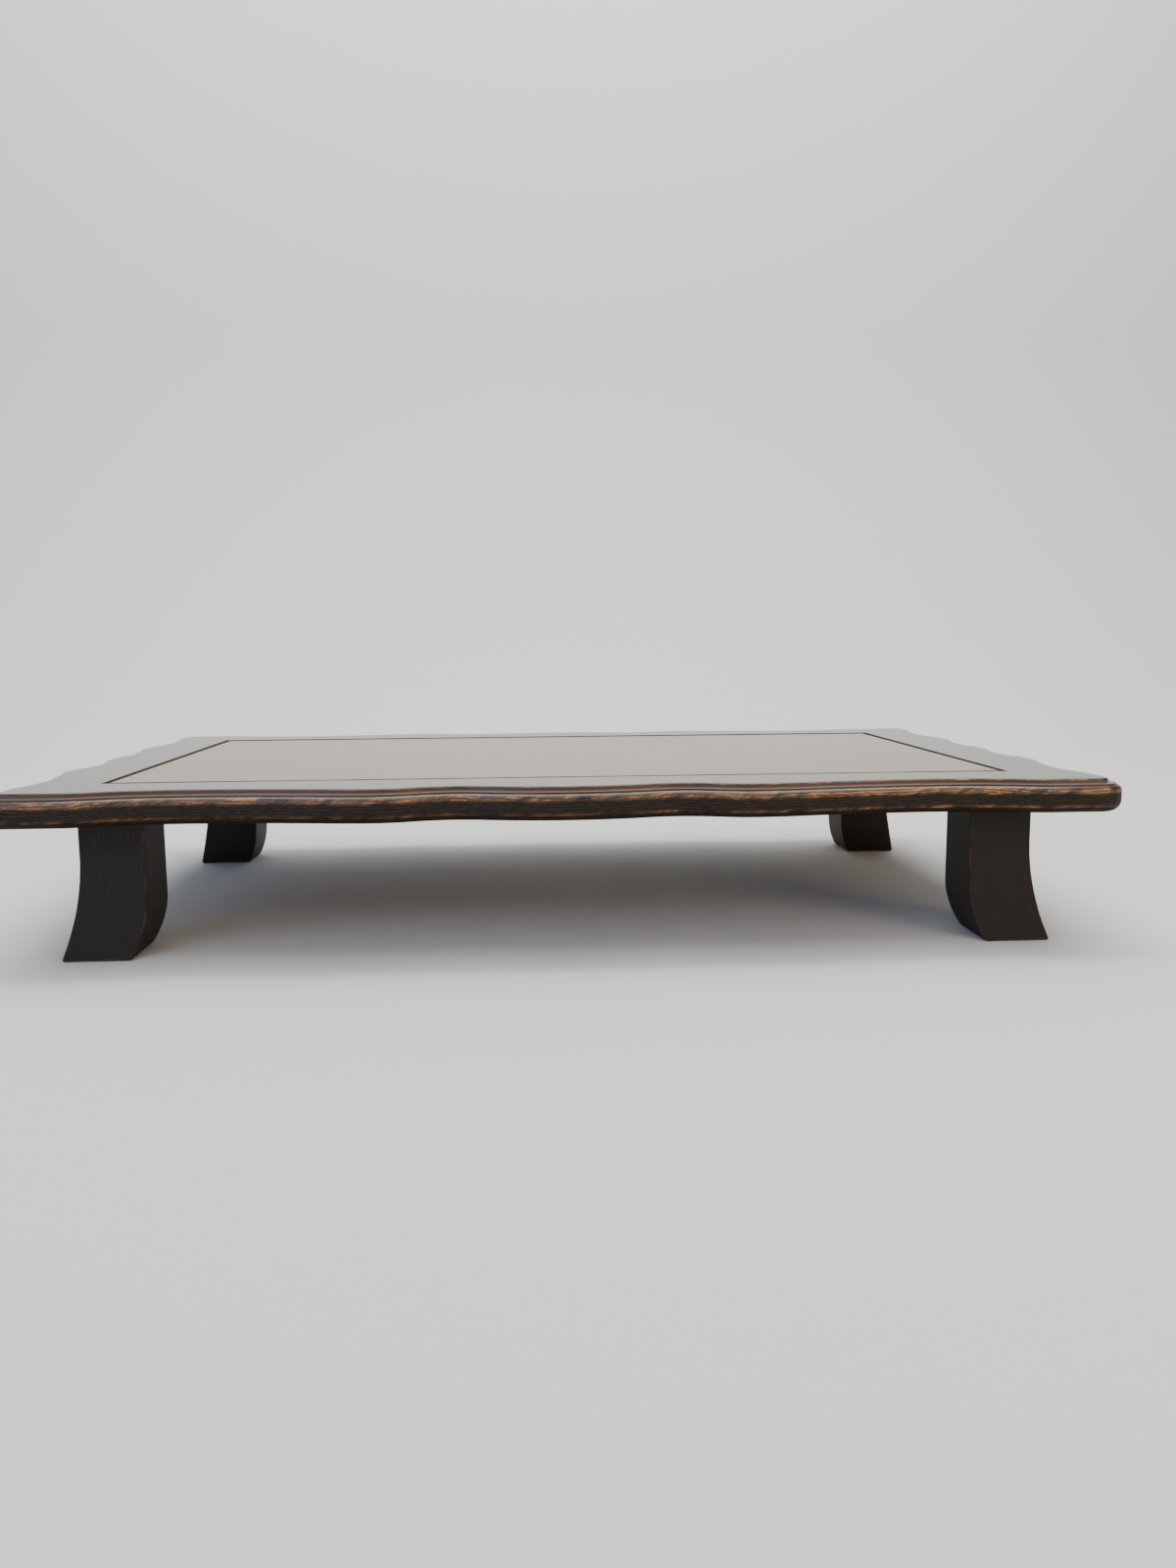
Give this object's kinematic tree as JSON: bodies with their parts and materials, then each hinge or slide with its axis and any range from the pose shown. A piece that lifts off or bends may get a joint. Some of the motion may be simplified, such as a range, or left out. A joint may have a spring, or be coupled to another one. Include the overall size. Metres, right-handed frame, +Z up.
{
  "type": "low display table",
  "caption": "Low table for showing an object: flush panel in a mitred frame with a scalloped, moulded edge, on square legs whose feet flare outwards",
  "frame": {"origin": "on the floor, under the middle of the table top", "axes": "+X along the length to the right as seen from the front, +Y towards the back, +Z up"},
  "size_m": [0.606, 0.364, 0.094],
  "materials": {
    "frame_wood": "satin lacquer, worn on its edges",
    "panel_wood": "satin lacquer",
    "leg_wood": "satin lacquer",
    "hidden_wood": "thin dark stain, planed"
  },
  "bodies": {
    "root": {"panel": "panel_wood", "front_rail": "frame_wood", "back_rail": "frame_wood", "left_rail": "frame_wood", "right_rail": "frame_wood", "front_left_leg": "leg_wood", "front_right_leg": "leg_wood", "back_left_leg": "leg_wood", "back_right_leg": "leg_wood", "front_left_key": "hidden_wood", "front_right_key": "hidden_wood", "back_left_key": "hidden_wood", "back_right_key": "hidden_wood", "left_batten": "hidden_wood", "right_batten": "hidden_wood"}
  },
  "joints": []
}
